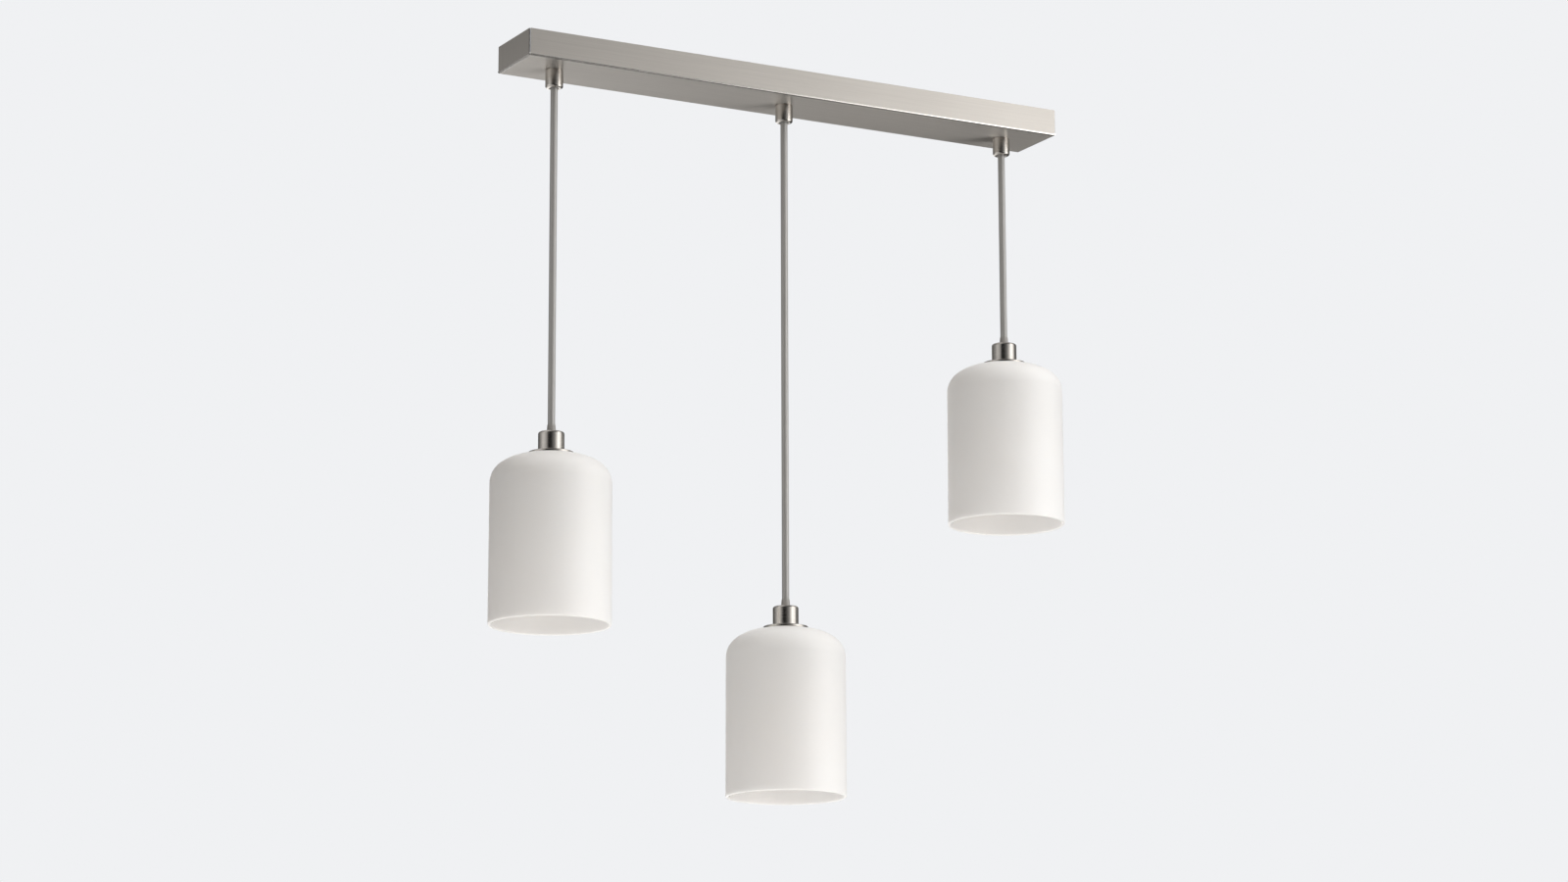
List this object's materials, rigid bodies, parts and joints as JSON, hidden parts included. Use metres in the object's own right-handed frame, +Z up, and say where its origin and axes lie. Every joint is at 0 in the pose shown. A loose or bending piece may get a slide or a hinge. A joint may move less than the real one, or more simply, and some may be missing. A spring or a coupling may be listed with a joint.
{
  "type": "linear island pendant light",
  "caption": "Long bar canopy in brushed nickel with a row of opal glass drop shades hanging from braided cords at stepped heights, each adjustable and free to swing.",
  "frame": {"origin": "in the ceiling plane, at the middle of the bracket's two screw slots", "axes": "+X along the bar towards the shortest lamp, +Y away from the viewer, +Z up"},
  "size_m": [0.6598, 0.1238, 0.761],
  "materials": {
    "satin_nickel_sheet": "satin brushed nickel plate",
    "nickel_turned": "turned and brushed nickel plate",
    "zinc_plated_steel": "zinc plate",
    "green_painted_steel": "satin",
    "brass_parts": "satin",
    "natural_nylon": "matte",
    "silver_cord": "braided textile",
    "grey_plastic": "matte",
    "clear_rubber": "matte",
    "holder_plastic": "matte",
    "connector_plastic": "matte",
    "black_insulation": "gloss",
    "white_insulation": "gloss",
    "green_insulation": "gloss",
    "opal_glass": "satin opal"
  },
  "bodies": {
    "canopy": {"canopy_pan": "satin_nickel_sheet", "ceiling_bracket": "zinc_plated_steel", "canopy_screws": "nickel_turned", "ground_screw": "green_painted_steel", "grip_nipples": "zinc_plated_steel", "grip_washers": "zinc_plated_steel", "grip_nuts": "brass_parts", "grip_collets": "natural_nylon", "cord_tails": "silver_cord", "wire_connectors": "connector_plastic", "live_wires": "black_insulation", "neutral_wires": "white_insulation", "earth_wires": "green_insulation", "cord_grip_left": "nickel_turned", "cord_grip_middle": "nickel_turned", "cord_grip_right": "nickel_turned"},
    "neck_left": {"cord_neck_left": "silver_cord"},
    "cord_left": {"cord_left": "silver_cord"},
    "lamp_left": {"strain_relief_left": "grey_plastic", "cord_end_left": "silver_cord", "socket_cap_left": "nickel_turned", "holder_disc_left": "nickel_turned", "disc_gasket_left": "clear_rubber", "lamp_nipple_left": "zinc_plated_steel", "lamp_nut_left": "brass_parts", "lamp_holder_left": "holder_plastic", "screw_shell_left": "brass_parts", "centre_contact_left": "brass_parts", "shade_ring_left": "holder_plastic", "glass_shade_left": "opal_glass"},
    "neck_middle": {"cord_neck_middle": "silver_cord"},
    "cord_middle": {"cord_middle": "silver_cord"},
    "lamp_middle": {"strain_relief_middle": "grey_plastic", "cord_end_middle": "silver_cord", "socket_cap_middle": "nickel_turned", "holder_disc_middle": "nickel_turned", "disc_gasket_middle": "clear_rubber", "lamp_nipple_middle": "zinc_plated_steel", "lamp_nut_middle": "brass_parts", "lamp_holder_middle": "holder_plastic", "screw_shell_middle": "brass_parts", "centre_contact_middle": "brass_parts", "shade_ring_middle": "holder_plastic", "glass_shade_middle": "opal_glass"},
    "neck_right": {"cord_neck_right": "silver_cord"},
    "cord_right": {"cord_right": "silver_cord"},
    "lamp_right": {"strain_relief_right": "grey_plastic", "cord_end_right": "silver_cord", "socket_cap_right": "nickel_turned", "holder_disc_right": "nickel_turned", "disc_gasket_right": "clear_rubber", "lamp_nipple_right": "zinc_plated_steel", "lamp_nut_right": "brass_parts", "lamp_holder_right": "holder_plastic", "screw_shell_right": "brass_parts", "centre_contact_right": "brass_parts", "shade_ring_right": "holder_plastic", "glass_shade_right": "opal_glass"}
  },
  "joints": [
    {"name": "swing_along_left", "type": "hinge", "parent": "canopy", "child": "neck_left", "pos_m": [-0.268, 0, -0.0463], "axis": [0, 1, 0], "range_deg": [-12, 12]},
    {"name": "swing_across_left", "type": "hinge", "parent": "neck_left", "child": "cord_left", "pos_m": [-0.268, 0, -0.0463], "axis": [1, 0, 0], "range_deg": [-25, 25]},
    {"name": "height_left", "type": "slide", "parent": "cord_left", "child": "lamp_left", "axis": [0, 0, 1], "range_m": [0, 0.15], "deforming": ["cord_left"]},
    {"name": "swing_along_middle", "type": "hinge", "parent": "canopy", "child": "neck_middle", "pos_m": [0, 0, -0.0463], "axis": [0, 1, 0], "range_deg": [-12, 12]},
    {"name": "swing_across_middle", "type": "hinge", "parent": "neck_middle", "child": "cord_middle", "pos_m": [0, 0, -0.0463], "axis": [1, 0, 0], "range_deg": [-25, 25]},
    {"name": "height_middle", "type": "slide", "parent": "cord_middle", "child": "lamp_middle", "axis": [0, 0, 1], "range_m": [0, 0.15], "deforming": ["cord_middle"]},
    {"name": "swing_along_right", "type": "hinge", "parent": "canopy", "child": "neck_right", "pos_m": [0.268, 0, -0.0463], "axis": [0, 1, 0], "range_deg": [-12, 12]},
    {"name": "swing_across_right", "type": "hinge", "parent": "neck_right", "child": "cord_right", "pos_m": [0.268, 0, -0.0463], "axis": [1, 0, 0], "range_deg": [-25, 25]},
    {"name": "height_right", "type": "slide", "parent": "cord_right", "child": "lamp_right", "axis": [0, 0, 1], "range_m": [0, 0.15], "deforming": ["cord_right"]}
  ]
}
